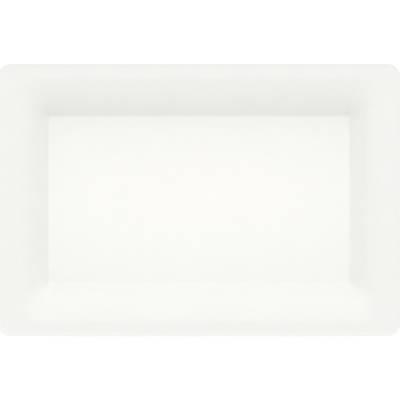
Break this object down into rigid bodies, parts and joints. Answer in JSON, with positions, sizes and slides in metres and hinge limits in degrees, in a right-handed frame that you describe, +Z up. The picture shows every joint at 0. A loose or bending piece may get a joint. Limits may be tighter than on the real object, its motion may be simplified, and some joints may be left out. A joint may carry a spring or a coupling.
{
  "type": "rectangular bagasse plate",
  "caption": "Rectangular moulded-fibre plate with a flat floor, rolled sloping walls, a flat rim and a small upturned lip.",
  "frame": {"origin": "middle of the flat underside that the plate stands on", "axes": "+X along the plate's length, +Y across its width, +Z up out of the well"},
  "size_m": [0.22, 0.149, 0.0174],
  "materials": {
    "pulp": "matte pressed sugarcane pulp, off-white, smooth above and with a faint mesh print below"
  },
  "bodies": {
    "root": {"plate": "pulp"}
  },
  "joints": []
}
